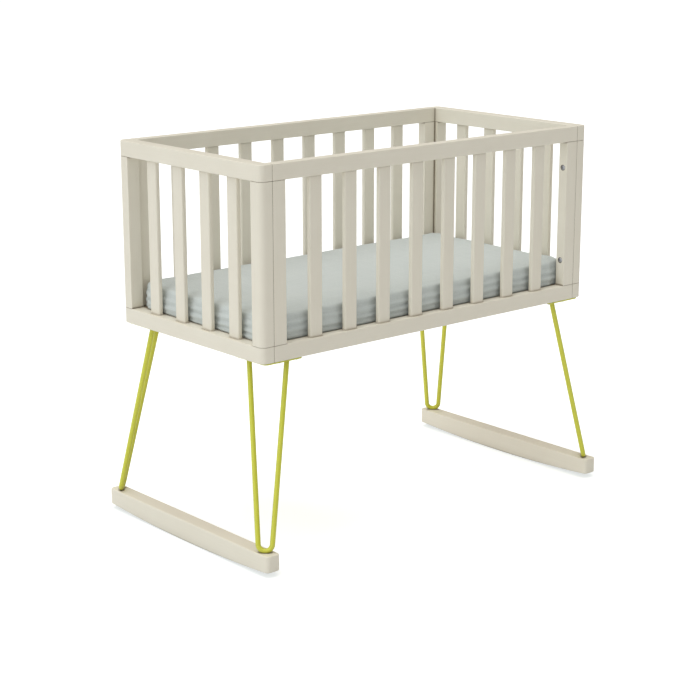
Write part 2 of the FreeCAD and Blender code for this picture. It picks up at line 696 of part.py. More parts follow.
bracket_screws = []
skid_screws = []
for x_sign, x_name in ((-1, "left"), (1, "right")):
    make_skid("skid_" + x_name, x_sign)
    for y_sign, y_name in ((-1, "front"), (1, "back")):
        corner = "%s_%s" % (x_name, y_name)
        make_leg("leg_" + corner, x_sign, y_sign)
        turn = {(-1, -1): 0, (1, -1): 90, (1, 1): 180, (-1, 1): 270}[(x_sign, y_sign)]
        bracket = make_bracket("bracket_" + corner)
        spin = FreeCAD.Rotation(FreeCAD.Vector(0, 0, 1), turn)
        bracket.Placement = FreeCAD.Placement(FreeCAD.Vector(0, 0, 0), spin)
        plate_x = "Sheet.box_length/2 - Sheet.bracket_end_inset"
        plate_y = "Sheet.box_width/2 - Sheet.bracket_side_inset"
        bracket.setExpression(".Placement.Base.x", "%d*(%s)" % (x_sign, plate_x))
        bracket.setExpression(".Placement.Base.y", "%d*(%s)" % (y_sign, plate_y))
        bracket.setExpression(".Placement.Base.z", BOX_FLOOR)
        for step in ("Sheet.bracket_screw_near", "Sheet.bracket_screw_far"):
            for along, across in ((step, "Sheet.bracket_screw_across"),
                                  ("Sheet.bracket_screw_across", step)):
                item = screw("bracket_screw_%s%d" % (corner, len(bracket_screws)),
                             "Sheet.bracket_screw_head", "Sheet.bracket_screw_head_height",
                             "Sheet.bracket_screw_thread", "Sheet.bracket_thick + " + BRACKET_BITE,
                             "Sheet.socket_wide")
                place(item, 0, "%d*(%s - %s)" % (x_sign, plate_x, along),
                      "%d*(%s - %s)" % (y_sign, plate_y, across),
                      BOX_FLOOR + " - Sheet.bracket_thick", FLIP)
                bracket_screws.append(item)
        item = screw("skid_screw_" + corner, "Sheet.skid_screw_head", "Sheet.skid_screw_head_height",
                     "Sheet.skid_screw_thread",
                     "Sheet.skid_height + Sheet.rod_proud - Sheet.rod/2 + Sheet.skid_screw_grip"
                     " - Sheet.skid_screw_sink", "Sheet.socket_wide")
        place(item, 0, "%d*(Sheet.box_length/2 + Sheet.foot_out_end)" % x_sign,
              "%d*(Sheet.box_width/2 + Sheet.foot_out_side)" % y_sign, "Sheet.skid_screw_sink", FLIP)
        skid_screws.append(item)
group("bracket_screws", bracket_screws)
group("skid_screws", skid_screws)


# ---- checks and export ----

doc.recompute()
for item in doc.Objects:
    if "Invalid" in item.State or "Error" in item.State:
        raise ValueError("%s did not build: %s" % (item.Label, item.State))
for item in PARTS:
    if item.Shape.isNull() or not item.Shape.isValid() or not item.Shape.Solids:
        raise ValueError("%s has no valid solid" % item.Label)
os.makedirs("parts", exist_ok=True)
for item in PARTS:
    item.Shape.exportStep(os.path.join("parts", item.Label + ".step"))
print("%d nodes, %d solids" % (len(PARTS), sum(len(item.Shape.Solids) for item in PARTS)))
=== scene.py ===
import bpy
import bmesh
import math
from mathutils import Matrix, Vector, noise

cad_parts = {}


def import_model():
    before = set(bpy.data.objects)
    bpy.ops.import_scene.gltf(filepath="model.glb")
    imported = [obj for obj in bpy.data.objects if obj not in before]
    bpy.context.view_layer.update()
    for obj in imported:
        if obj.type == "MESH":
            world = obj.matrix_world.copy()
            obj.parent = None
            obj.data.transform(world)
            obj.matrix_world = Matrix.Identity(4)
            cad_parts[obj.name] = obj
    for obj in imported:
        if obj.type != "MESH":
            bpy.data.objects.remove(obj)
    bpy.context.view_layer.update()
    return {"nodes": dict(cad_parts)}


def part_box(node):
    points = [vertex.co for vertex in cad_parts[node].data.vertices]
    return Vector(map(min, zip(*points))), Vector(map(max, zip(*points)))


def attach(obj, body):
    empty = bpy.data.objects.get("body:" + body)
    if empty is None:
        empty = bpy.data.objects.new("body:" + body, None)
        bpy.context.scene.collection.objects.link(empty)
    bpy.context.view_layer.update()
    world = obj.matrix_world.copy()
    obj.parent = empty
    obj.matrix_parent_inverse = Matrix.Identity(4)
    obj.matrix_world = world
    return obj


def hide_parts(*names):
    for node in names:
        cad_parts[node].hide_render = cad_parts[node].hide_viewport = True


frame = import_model()

# Sizes in metres, as the part is built.
# Hairpin legs: the rod's middle line, the gap between its two ends, and how it leans and stands.
ROD_RADIUS = 0.005
BEND_RADIUS = 0.0135
ROD_SPREAD = 0.0706
LEG_LEAN = 0.0575
ROD_PROUD = 0.003
WELD_LEG = 0.0034
WELD_ROOT = 0.0008
# Where a leg's bend stands on its skid: from the skid's end, and out from its middle.
SKID_END = 0.0235
SKID_IN = 0.002
# Bracket screws, from the bracket's outer edges.
SCREW_NEAR = 0.040
SCREW_FAR = 0.082
SCREW_ACROSS = 0.0095
# Panel bolts: the upper from the lower, and the head's seat from the stile's outer side.
BOLT_SPACING = 0.196
BOLT_SEAT = 0.0270

PANEL_BOLT = {"head": 0.011, "height": 0.0035, "shank": 0.006, "length": 0.040,
              "key": 0.0046, "pitch": 0.001}
BRACKET_SCREW = {"head": 0.009, "height": 0.003, "shank": 0.0045, "length": 0.018,
                 "key": 0.0036, "pitch": 0.0015}

# The mattress cover: how far it stands past its foam, how far it may bulge between the slats, and
# how far out from the middle a window between two posts runs, each at the ends and along the sides.
COVER_PAST_END = 0.0085
COVER_PAST_SIDE = 0.0060
END_BULGE = 0.0092
SIDE_BULGE = 0.0066
END_WINDOW = 0.183
SIDE_WINDOW = 0.364
COVER_CORNER = 0.016
COVER_GAP = 0.0008
# How far the stuffing may push the cover's top and its sides, and its mesh and time steps.
TOP_CROWN = 0.0042
SIDE_PUFF = 0.0014
CLOTH_SPACING = 0.0052
CLOTH_STEPS = 20
# How deep into the cover the frame's hold reaches, and how slats and rucks dent it.
HOLD_DEPTH = 0.030
SLAT_DENT = 0.0012
RUCK_DENT = 0.0008

# Loose folds round the cover's side: (share of its height, width, depth, seed).
FOLDS = ((0.21, 0.045, -0.0026, 1.3), (0.45, 0.055, -0.0026, 5.1), (0.32, 0.070, 0.0016, 8.4),
         (0.60, 0.060, 0.0010, 4.4), (0.70, 0.070, -0.0012, 2.2))

CAMERA_TURN = math.radians(-40.957)
CAMERA_RISE = math.radians(14.598)
CAMERA_SPOT = (-2.31885, -2.64181, 1.2252)
CAMERA_LENS = 89.59


# ---- laying out nodes ----

def feed(tree, socket, value):
    if isinstance(value, bpy.types.NodeSocket):
        tree.links.new(value, socket)
    else:
        socket.default_value = value


def put(tree, kind, feeds=(), **settings):
    """A node of that kind, with its settings and what feeds its inputs."""
    item = tree.nodes.new("ShaderNode" + kind)
    for key, value in settings.items():
        setattr(item, key, value)
    for key, value in dict(feeds).items():
        feed(tree, item.inputs[key], value)
    return item


def sums(tree, operation, first, second=0.0, third=0.0):
    return put(tree, "Math", {0: first, 1: second, 2: third}, operation=operation).outputs[0]


def spread_out(tree, value, low, high, new_low, new_high):
    """The value from low to high becomes new_low to new_high, and stays inside them."""
    return put(tree, "MapRange", {"Value": value, "From Min": low, "From Max": high,
                                  "To Min": new_low, "To Max": new_high}).outputs["Result"]


def tint(tree, share, first, second):
    """The first colour where share is 0, the second where it is 1."""
    return put(tree, "Mix", {0: share, 6: first, 7: second}, data_type="RGBA").outputs[2]


def speckle(tree, where, size, detail=3.0, rough=0.5, wander=0.0):
    """Noise whose features are about size metres across."""
    return put(tree, "TexNoise", {"Vector": where, "Scale": 1.0 / size, "Detail": detail,
                                  "Roughness": rough, "Distortion": wander}).outputs[0]


def patches(tree, where, size, detail=4.0, rough=0.6):
    """Soft patches from 0 to 1, about size metres across."""
    return spread_out(tree, speckle(tree, where, size, detail, rough), 0.3, 0.7, 0.0, 1.0)


def normal_parts(tree):
    """The X, Y and Z parts of the surface's normal."""
    return put(tree, "SeparateXYZ", {0: put(tree, "NewGeometry").outputs["Normal"]}).outputs


def new_effect(name, takes, gives):
    """A node group for an effect that several finishes share."""
    tree = bpy.data.node_groups.new(name, "ShaderNodeTree")
    for label, kind, value in takes:
        socket = tree.interface.new_socket(label, in_out="INPUT", socket_type="NodeSocket" + kind)
        if value is not None:
            socket.default_value = value
    for label, kind in gives:
        tree.interface.new_socket(label, in_out="OUTPUT", socket_type="NodeSocket" + kind)
    start = tree.nodes.new("NodeGroupInput")
    end = tree.nodes.new("NodeGroupOutput")
    return tree, start.outputs, end.inputs


def fed_effect(tree, effect, feeds):
    return put(tree, "Group", feeds, node_tree=effect)


# ---- effects that several finishes share ----

def make_long_grain():
    """Wood grain along coordinates that the finish has already drawn out along the board."""
    tree, takes, gives = new_effect(
        "long_grain",
        [("Vector", "Vector", None), ("Line Size", "Float", 0.002), ("Wander", "Float", 0.4)],
        [("Shade", "Float"), ("Height", "Float")])
    rate = sums(tree, "DIVIDE", 1.0, takes["Line Size"])
    fine = put(tree, "TexNoise", {"Vector": takes["Vector"], "Scale": rate, "Detail": 6.0,
                                  "Roughness": 0.62, "Distortion": takes["Wander"]}).outputs[0]
    broad_rate = sums(tree, "MULTIPLY", rate, 0.13)
    broad = put(tree, "TexNoise", {"Vector": takes["Vector"], "Scale": broad_rate, "Detail": 3.0,
                                   "Roughness": 0.5, "Distortion": takes["Wander"]}).outputs[0]
    lines = spread_out(tree, fine, 0.38, 0.66, 0.0, 1.0)
    bands = spread_out(tree, broad, 0.35, 0.65, 0.0, 1.0)
    both = sums(tree, "MULTIPLY_ADD", lines, 0.55, sums(tree, "MULTIPLY", bands, 0.45))
    feed(tree, gives["Shade"], both)
    feed(tree, gives["Height"], lines)
    return tree


def make_edge_mask():
    """1 along the object's edges, fading out over the given radius."""
    tree, takes, gives = new_effect(
        "edge_mask",
        [("Radius", "Float", 0.002), ("Vector", "Vector", None)],
        [("Edge", "Float")])
    soft = put(tree, "Bevel", {"Radius": takes["Radius"]}, samples=4).outputs["Normal"]
    flat = put(tree, "NewGeometry").outputs["Normal"]
    alike = put(tree, "VectorMath", {0: soft, 1: flat}, operation="DOT_PRODUCT").outputs["Value"]
    edge = spread_out(tree, alike, 0.995, 0.86, 0.0, 1.0)
    patchy = spread_out(tree, speckle(tree, takes["Vector"], 0.012, 4.0, 0.6), 0.3, 0.7, 0.35, 1.0)
    feed(tree, gives["Edge"], sums(tree, "MULTIPLY", edge, patchy))
    return tree


def make_nook_mask():
    """1 in joints and corners that hardly any light gets into: Open and Shut are its open shares."""
    tree, takes, gives = new_effect(
        "nook_mask",
        [("Reach", "Float", 0.006), ("Open", "Float", 0.88), ("Shut", "Float", 0.40)],
        [("Nook", "Float")])
    open_share = put(tree, "AmbientOcclusion", {"Distance": takes["Reach"]}, samples=8).outputs["AO"]
    feed(tree, gives["Nook"], spread_out(tree, open_share, takes["Open"], takes["Shut"], 0.0, 1.0))
    return tree


def make_spray_skin():
    """The fine orange peel of a sprayed film, and its slow changes in gloss."""
    tree, takes, gives = new_effect(
        "spray_skin",
        [("Vector", "Vector", None), ("Peel Size", "Float", 0.002)],
        [("Height", "Float"), ("Drift", "Float")])
    rate = sums(tree, "DIVIDE", 1.0, takes["Peel Size"])
    peel = put(tree, "TexNoise", {"Vector": takes["Vector"], "Scale": rate, "Detail": 1.5}).outputs[0]
    nibs = put(tree, "TexVoronoi", {"Vector": takes["Vector"],
                                    "Scale": sums(tree, "MULTIPLY", rate, 0.11)}).outputs["Distance"]
    specks = spread_out(tree, nibs, 0.0, 0.045, 0.5, 0.0)
    feed(tree, gives["Height"], sums(tree, "ADD", peel, specks))
    feed(tree, gives["Drift"], patches(tree, takes["Vector"], 0.11))
    return tree


def make_thread_face():
    """One flat face of plain weave, from its two coordinates counted in threads."""
    tree, takes, gives = new_effect(
        "thread_face", [("Across", "Float", 0.0), ("Along", "Float", 0.0)], [("Height", "Float")])

    def lifted(across, along, start):
        crest = sums(tree, "SINE", sums(tree, "MULTIPLY", sums(tree, "FRACT", across), math.pi))
        turn = sums(tree, "ADD", sums(tree, "FLOOR", across), sums(tree, "ADD", along, start))
        over = sums(tree, "MULTIPLY_ADD", sums(tree, "COSINE", sums(tree, "MULTIPLY", turn, math.pi)),
                    0.5, 0.5)
        return sums(tree, "MULTIPLY", crest, over)

    warp = lifted(takes["Across"], takes["Along"], 0.0)
    weft = lifted(takes["Along"], takes["Across"], 1.0)
    feed(tree, gives["Height"], sums(tree, "MAXIMUM", warp, weft))
    return tree


def make_plain_weave(thread_face):
    """Plain woven cloth on any side of a piece, with thicker threads here and there."""
    tree, takes, gives = new_effect(
        "plain_weave",
        [("Vector", "Vector", None), ("Thread", "Float", 0.0008)],
        [("Height", "Float"), ("Slub", "Float")])
    rate = sums(tree, "DIVIDE", 1.0, takes["Thread"])
    counted = put(tree, "VectorMath", {0: takes["Vector"], "Scale": rate},
                  operation="SCALE").outputs["Vector"]
    x, y, z = put(tree, "SeparateXYZ", {0: counted}).outputs
    steep = [sums(tree, "POWER", sums(tree, "ABSOLUTE", part), 6.0) for part in normal_parts(tree)]
    faces = []
    for across, along, share in ((y, z, steep[0]), (x, z, steep[1]), (x, y, steep[2])):
        face = fed_effect(tree, thread_face, {"Across": across, "Along": along}).outputs["Height"]
        faces.append(sums(tree, "MULTIPLY", face, share))
    total = sums(tree, "ADD", steep[0], sums(tree, "ADD", steep[1], steep[2]))
    height = sums(tree, "ADD", faces[0], sums(tree, "ADD", faces[1], faces[2]))
    feed(tree, gives["Height"], sums(tree, "DIVIDE", height, total))
    drawn = []
    for stretch in ((0.02, 1.0, 1.0), (1.0, 0.02, 1.0), (1.0, 1.0, 0.05)):
        long_way = put(tree, "VectorMath", {0: takes["Vector"], 1: stretch}, operation="MULTIPLY")
        drawn.append(speckle(tree, long_way.outputs[0], 0.0016, 2.0, 0.5))
    slub = sums(tree, "ADD", drawn[0], sums(tree, "ADD", drawn[1], drawn[2]))
    feed(tree, gives["Slub"], spread_out(tree, slub, 1.25, 1.8, 0.0, 1.0))
    return tree


LONG_GRAIN = make_long_grain()
EDGE_MASK = make_edge_mask()
NOOK_MASK = make_nook_mask()
SPRAY_SKIN = make_spray_skin()
PLAIN_WEAVE = make_plain_weave(make_thread_face())


# ---- finishes ----

def new_finish(name):
    finish = bpy.data.materials.new(name)
    finish.use_nodes = True
    tree = finish.node_tree
    shader = tree.nodes["Principled BSDF"]
    where = put(tree, "TexCoord").outputs["Object"]
    return finish, tree, shader, where


def drawn_out(tree, where, along):
    """Coordinates in which a pattern is drawn out along one axis of the object."""
    stretch = [1.0, 1.0, 1.0]
    stretch[along] = 0.035
    return put(tree, "VectorMath", {0: where, 1: stretch}, operation="MULTIPLY").outputs[0]


def bumps(tree, shader, layers):
    """Stacks bumps on the shader's normal: (height, depth in metres), the broadest first."""
    normal = None
    for height, depth in layers:
        item = put(tree, "Bump", {"Height": height, "Distance": depth, "Strength": 1.0})
        if normal is not None:
            feed(tree, item.inputs["Normal"], normal)
        normal = item.outputs["Normal"]
    feed(tree, shader.inputs["Normal"], normal)


def cream_lacquer(name, along, seam_shade_share):
    """Satin cream lacquer sprayed on a board whose grain runs along one axis."""
    finish, tree, shader, where = new_finish(name)
    drawn = drawn_out(tree, where, along)
    grain = fed_effect(tree, LONG_GRAIN, {"Vector": drawn, "Line Size": 0.0018, "Wander": 0.5})
    skin = fed_effect(tree, SPRAY_SKIN, {"Vector": where, "Peel Size": 0.0022})
    edge = fed_effect(tree, EDGE_MASK, {"Radius": 0.0022, "Vector": where}).outputs["Edge"]
    nook = fed_effect(tree, NOOK_MASK, {"Reach": 0.0045, "Open": 0.96, "Shut": 0.64}).outputs["Nook"]
    painted_contact_shade = fed_effect(tree, NOOK_MASK, {"Reach": 0.022}).outputs["Nook"]
    body = tint(tree, skin.outputs["Drift"], (0.835, 0.795, 0.690, 1), (0.862, 0.826, 0.722, 1))
    body = tint(tree, sums(tree, "MULTIPLY", grain.outputs["Shade"], 0.28), body,
                (0.775, 0.728, 0.610, 1))
    body = tint(tree, sums(tree, "MULTIPLY", edge, 0.35), body, (0.905, 0.872, 0.778, 1))
    # painted shade: a broad darkening of the colour where parts stand close together
    body = tint(tree, sums(tree, "MULTIPLY", painted_contact_shade, 0.30), body, (0.50, 0.425, 0.32, 1))
    # painted shade: a thin dark line in the seams and grooves between parts
    body = tint(tree, sums(tree, "MULTIPLY", nook, seam_shade_share), body, (0.22, 0.17, 0.115, 1))
    feed(tree, shader.inputs["Base Color"], body)
    gloss = spread_out(tree, skin.outputs["Drift"], 0.0, 1.0, 0.40, 0.49)
    gloss = sums(tree, "MULTIPLY_ADD", grain.outputs["Shade"], 0.05, gloss)
    feed(tree, shader.inputs["Roughness"], sums(tree, "MULTIPLY_ADD", edge, -0.07, gloss))
    shader.inputs["Coat Weight"].default_value = 0.12
    shader.inputs["Coat Roughness"].default_value = 0.28
    bumps(tree, shader, ((grain.outputs["Height"], 0.00003), (skin.outputs["Height"], 0.00005)))
    return finish


def lime_powder_coat():
    """Satin powder coat on steel: a soft peel, thinner and brighter on the edges."""
    finish, tree, shader, where = new_finish("lime_powder_coat")
    skin = fed_effect(tree, SPRAY_SKIN, {"Vector": where, "Peel Size": 0.0011})
    edge = fed_effect(tree, EDGE_MASK, {"Radius": 0.0008, "Vector": where}).outputs["Edge"]
    nook = fed_effect(tree, NOOK_MASK, {"Reach": 0.004}).outputs["Nook"]
    under = fed_effect(tree, NOOK_MASK, {"Reach": 0.07, "Open": 0.95, "Shut": 0.35}).outputs["Nook"]
    body = tint(tree, skin.outputs["Drift"], (0.635, 0.655, 0.052, 1), (0.675, 0.690, 0.066, 1))
    # painted shade: the rods darken towards the bracket and the box above them
    body = tint(tree, sums(tree, "MULTIPLY", under, 0.48), body, (0.30, 0.26, 0.012, 1))
    body = tint(tree, sums(tree, "MULTIPLY", edge, 0.3), body, (0.72, 0.73, 0.12, 1))
    # painted shade in the joints round the welds
    body = tint(tree, sums(tree, "MULTIPLY", nook, 0.6), body, (0.20, 0.19, 0.015, 1))
    feed(tree, shader.inputs["Base Color"], body)
    feed(tree, shader.inputs["Roughness"], spread_out(tree, skin.outputs["Drift"], 0, 1, 0.30, 0.40))
    shader.inputs["Coat Weight"].default_value = 0.25
    shader.inputs["Coat Roughness"].default_value = 0.2
    bumps(tree, shader, ((skin.outputs["Height"], 0.00006),))
    return finish


def zinc_plate():
    """Blue-bright zinc on turned steel: fine turning marks, a dull haze and painted shade in the
    sockets.
    """
    finish, tree, shader, where = new_finish("zinc_plate")
    haze = patches(tree, where, 0.004, 5.0)
    marks = speckle(tree, where, 0.0004, 4.0, 0.7)
    edge = fed_effect(tree, EDGE_MASK, {"Radius": 0.0006, "Vector": where}).outputs["Edge"]
    nook = fed_effect(tree, NOOK_MASK, {"Reach": 0.003}).outputs["Nook"]
    body = tint(tree, haze, (0.52, 0.53, 0.58, 1), (0.66, 0.67, 0.70, 1))
    body = tint(tree, sums(tree, "MULTIPLY", edge, 0.5), body, (0.80, 0.80, 0.82, 1))
    # painted shade in the sockets and under the heads
    body = tint(tree, sums(tree, "MULTIPLY", nook, 0.7), body, (0.16, 0.16, 0.18, 1))
    feed(tree, shader.inputs["Base Color"], body)
    shader.inputs["Metallic"].default_value = 1.0
    feed(tree, shader.inputs["Roughness"],
         sums(tree, "MULTIPLY_ADD", marks, 0.12, spread_out(tree, haze, 0, 1, 0.28, 0.38)))
    bumps(tree, shader, ((marks, 0.00001),))
    return finish


def yellow_brass():
    """Dull brass of the threaded inserts."""
    finish, tree, shader, where = new_finish("yellow_brass")
    haze = patches(tree, where, 0.003, 5.0)
    nook = fed_effect(tree, NOOK_MASK, {"Reach": 0.003}).outputs["Nook"]
    body = tint(tree, haze, (0.62, 0.47, 0.20, 1), (0.74, 0.58, 0.28, 1))
    # painted shade in the inserts' threads and bores
    body = tint(tree, sums(tree, "MULTIPLY", nook, 0.7), body, (0.16, 0.11, 0.05, 1))
    feed(tree, shader.inputs["Base Color"], body)
    shader.inputs["Metallic"].default_value = 1.0
    feed(tree, shader.inputs["Roughness"], spread_out(tree, haze, 0, 1, 0.30, 0.42))
    bumps(tree, shader, ((haze, 0.00001),))
    return finish


def cover_cotton():
    """Washed woven cotton: threads, slubs, soft cloudy tone, a worn bloom, and painted shade in its
    nooks.
    """
    finish, tree, shader, where = new_finish("cover_cotton")
    weave = fed_effect(tree, PLAIN_WEAVE, {"Vector": where, "Thread": 0.0008})
    nook = fed_effect(tree, NOOK_MASK, {"Reach": 0.020}).outputs["Nook"]
    # painted shade in the cover's nooks behind the slats, stronger on the long sides than on the ends
    sideways = sums(tree, "ABSOLUTE", normal_parts(tree)[1])
    side_shade_share = spread_out(tree, sideways, 0.2, 0.8, 0.02, 0.30)
    cloud = patches(tree, where, 0.09)
    body = tint(tree, cloud, (0.630, 0.685, 0.675, 1), (0.60795, 0.66582, 0.6615, 1))
    gaps = spread_out(tree, weave.outputs["Height"], 0.0, 0.8, 0.45, 0.0)
    body = tint(tree, gaps, body, (0.43, 0.485, 0.49, 1))
    body = tint(tree, sums(tree, "MULTIPLY", weave.outputs["Slub"], 0.25), body,
                (0.83, 0.87, 0.875, 1))
    body = tint(tree, sums(tree, "MULTIPLY", nook, side_shade_share), body, (0.15, 0.175, 0.195, 1))
    feed(tree, shader.inputs["Base Color"], body)
    feed(tree, shader.inputs["Roughness"], spread_out(tree, cloud, 0, 1, 0.82, 0.92))
    shader.inputs["Sheen Weight"].default_value = 0.25
    shader.inputs["Sheen Roughness"].default_value = 0.55
    lint = speckle(tree, where, 0.0025, 3.0, 0.6)
    bumps(tree, shader, ((lint, 0.00012), (weave.outputs["Slub"], 0.00008),
                         (weave.outputs["Height"], 0.00016)))
    return finish


def bare_wood(name, along, light, dark, line_size, fleck_share):
    """Sanded bare wood with grain, pores and short darker flecks."""
    finish, tree, shader, where = new_finish(name)
    drawn = drawn_out(tree, where, along)
    grain = fed_effect(tree, LONG_GRAIN, {"Vector": drawn, "Line Size": line_size, "Wander": 1.4})
    fleck = spread_out(tree, speckle(tree, drawn, 0.0007, 2.0, 0.5), 0.66, 0.72, 0.0, fleck_share)
    edge = fed_effect(tree, EDGE_MASK, {"Radius": 0.0015, "Vector": where}).outputs["Edge"]
    nook = fed_effect(tree, NOOK_MASK, {"Reach": 0.006}).outputs["Nook"]
    body = tint(tree, grain.outputs["Shade"], light, dark)
    body = tint(tree, fleck, body, [0.55 * dark[0], 0.5 * dark[1], 0.45 * dark[2], 1])
    body = tint(tree, sums(tree, "MULTIPLY", edge, 0.25), body, [min(1, 1.1 * c) for c in light])
    # painted shade in joints and corners
    body = tint(tree, sums(tree, "MULTIPLY", nook, 0.5), body, (0.22, 0.15, 0.09, 1))
    feed(tree, shader.inputs["Roughness"], spread_out(tree, grain.outputs["Shade"], 0, 1, 0.52, 0.68))
    bumps(tree, shader, ((grain.outputs["Height"], 0.00008),))
    return finish, tree, shader, where, body


def beech_batten():
    finish, tree, shader, where, body = bare_wood(
        "beech_batten", 0, (0.72, 0.50, 0.31, 1), (0.60, 0.38, 0.215, 1), 0.0022, 0.8)
    feed(tree, shader.inputs["Base Color"], body)
    return finish


def birch_board():
    """Birch plywood: pale rotary-cut faces, and crossed layers on every cut edge."""
    finish, tree, shader, where, body = bare_wood(
        "birch_board", 0, (0.78, 0.62, 0.43, 1), (0.70, 0.52, 0.33, 1), 0.006, 0.3)
    low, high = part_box("mattress_base")
    up = put(tree, "SeparateXYZ", {0: where}).outputs[2]
    pairs_of_layers = 3.5
    rate = pairs_of_layers * 2 * math.pi / (high.z - low.z)
    layer = sums(tree, "MULTIPLY", sums(tree, "SUBTRACT", up, low.z), rate)
    ripple = sums(tree, "MULTIPLY_ADD", speckle(tree, where, 0.004, 3.0, 0.6), 1.4, layer)
    stripe = spread_out(tree, sums(tree, "SINE", ripple), -0.3, 0.3, 0.0, 0.75)
    level = sums(tree, "ABSOLUTE", normal_parts(tree)[2])
    on_edge = spread_out(tree, level, 0.5, 0.7, 1.0, 0.0)
    body = tint(tree, sums(tree, "MULTIPLY", stripe, on_edge), body, (0.40, 0.25, 0.13, 1))
    feed(tree, shader.inputs["Base Color"], body)
    return finish


def plain_floor():
    """A white sweep that is lit through from below, so that it stays pale under the cradle."""
    finish, tree, shader, where = new_finish("studio_floor")
    paper = tint(tree, speckle(tree, where, 0.6, 2.0, 0.5),
                 (0.64, 0.645, 0.65, 1), (0.66, 0.665, 0.67, 1))
    nook = fed_effect(tree, NOOK_MASK, {"Reach": 0.07}).outputs["Nook"]
    # painted contact shadow on the floor close to the skids
    paper = tint(tree, sums(tree, "MULTIPLY", nook, 0.8), paper, (0.30, 0.33, 0.33, 1))
    feed(tree, shader.inputs["Base Color"], paper)
    shader.inputs["Roughness"].default_value = 0.9
    shader.inputs["Specular IOR Level"].default_value = 0.0
    shader.inputs["Emission Color"].default_value = (0.97, 1.0, 1.0, 1)
    seen = put(tree, "LightPath").outputs["Is Camera Ray"]
    feed(tree, shader.inputs["Emission Strength"], sums(tree, "MULTIPLY_ADD", seen, 0.48, 0.18))
    return finish


LACQUER = {"long rail": cream_lacquer("cream_lacquer_lengthways", 0, 0.60),
           "cross rail": cream_lacquer("cream_lacquer_crossways", 1, 0.60),
           "post": cream_lacquer("cream_lacquer_upright", 2, 0.90),
           "slat": cream_lacquer("cream_lacquer_slats", 2, 0.30)}
LIME = lime_powder_coat()
ZINC = zinc_plate()
BRASS = yellow_brass()
COTTON = cover_cotton()
BEECH = beech_batten()
BIRCH = birch_board()


# ---- building meshes ----

def loft(mesh, rings, capped=True):
    """Skins a row of closed rings into a bmesh: capped at both ends, or joined end to start."""
    rows = [[mesh.verts.new(point) for point in ring] for ring in rings]
    for first, second in zip(rows, rows[1:] if capped else rows[1:] + rows[:1]):
        for k in range(len(first)):
            after = (k + 1) % len(first)
            mesh.faces.new((first[k], first[after], second[after], second[k]))
    if capped:
        mesh.faces.new(rows[0][::-1])
        mesh.faces.new(rows[-1])


def finished(mesh, name, finish, body, smooth=True):
    """Turns a bmesh into a piece of the object that rides on a body."""
    bmesh.ops.recalc_face_normals(mesh, faces=mesh.faces)
    data = bpy.data.meshes.new(name)
    mesh.to_mesh(data)
    mesh.free()
    data.materials.append(finish)
    data.polygons.foreach_set("use_smooth", [smooth] * len(data.polygons))
    data.set_sharp_from_angle(angle=math.radians(40))
    piece = bpy.data.objects.new(name, data)
    bpy.context.scene.collection.objects.link(piece)
    if body is not None:
        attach(piece, body)
    return piece


# ---- hairpin legs ----

def hairpin_line(slope):
    """The rod's two ends and its bend, flat in the leg's own plane, for a leg that long."""
    far = math.hypot(ROD_SPREAD / 2, slope - BEND_RADIUS)
    taper = math.atan2(ROD_SPREAD / 2, slope - BEND_RADIUS) - math.asin(BEND_RADIUS / far)
    bend = []
    steps = 40
    for k in range(steps + 1):
        angle = -math.pi + taper + (math.pi - 2 * taper) * k / steps
        bend.append((BEND_RADIUS * math.cos(angle), BEND_RADIUS + BEND_RADIUS * math.sin(angle)))
    ends = []
    for hand, (across, up) in ((-1, bend[0]), (1, bend[-1])):
        run = (slope - up) / math.cos(taper)
        ends.append((across + hand * math.sin(taper) * run, slope))
    return ends, bend


def between(first, last):
    """Three points that share a straight run evenly."""
    return [tuple(a + (b - a) * share for a, b in zip(first, last)) for share in (0.25, 0.5, 0.75)]


def hairpin_leg(side, corner):
    """A rod bent to a U and leaning in, with a weld bead round each end under the bracket."""
    name = "%s_%s" % (side, corner)
    x_way = -1 if side == "left" else 1
    y_way = -1 if corner == "front" else 1
    skid_low, skid_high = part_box("skid_" + side)
    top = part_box("bracket_" + name)[0].z
    foot = Vector(((skid_low.x + skid_high.x) / 2 + x_way * SKID_IN,
                   y_way * (skid_high.y - SKID_END), skid_high.z + ROD_PROUD))
    rise = top - foot.z
    across = Vector((-y_way, x_way, 0)).normalized()
    up = Vector((-x_way * LEG_LEAN, -y_way * LEG_LEAN, rise)).normalized()
    out = across.cross(up)
    ends, bend = hairpin_line(rise / up.z)
    route = [ends[0]] + between(ends[0], bend[0]) + bend + between(bend[-1], ends[1]) + [ends[1]]

    def world(point):
        return foot + across * point[0] + up * point[1]

    rings = []
    sides = 28
    for k, point in enumerate(route):
        before = world(route[max(k - 1, 0)])
        after = world(route[min(k + 1, len(route) - 1)])
        tangent = (after - before).normalized()
        inward = out.cross(tangent).normalized()
        ring = []
        for s in range(sides):
            angle = 2 * math.pi * s / sides
            spot = world(point) + ROD_RADIUS * (math.cos(angle) * inward + math.sin(angle) * out)
            if k in (0, len(route) - 1):
                spot += tangent * ((top - spot.z) / tangent.z)
            ring.append(spot)
        rings.append(ring)
    mesh = bmesh.new()
    loft(mesh, rings)
    for end, start in ((ends[0], bend[0]), (ends[1], bend[-1])):
        axis = (world(end) - world(start)).normalized()
        weld_bead(mesh, world(end), axis, top)
    piece = finished(mesh, "hairpin_" + name, LIME, "cradle")
    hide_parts("leg_" + name)


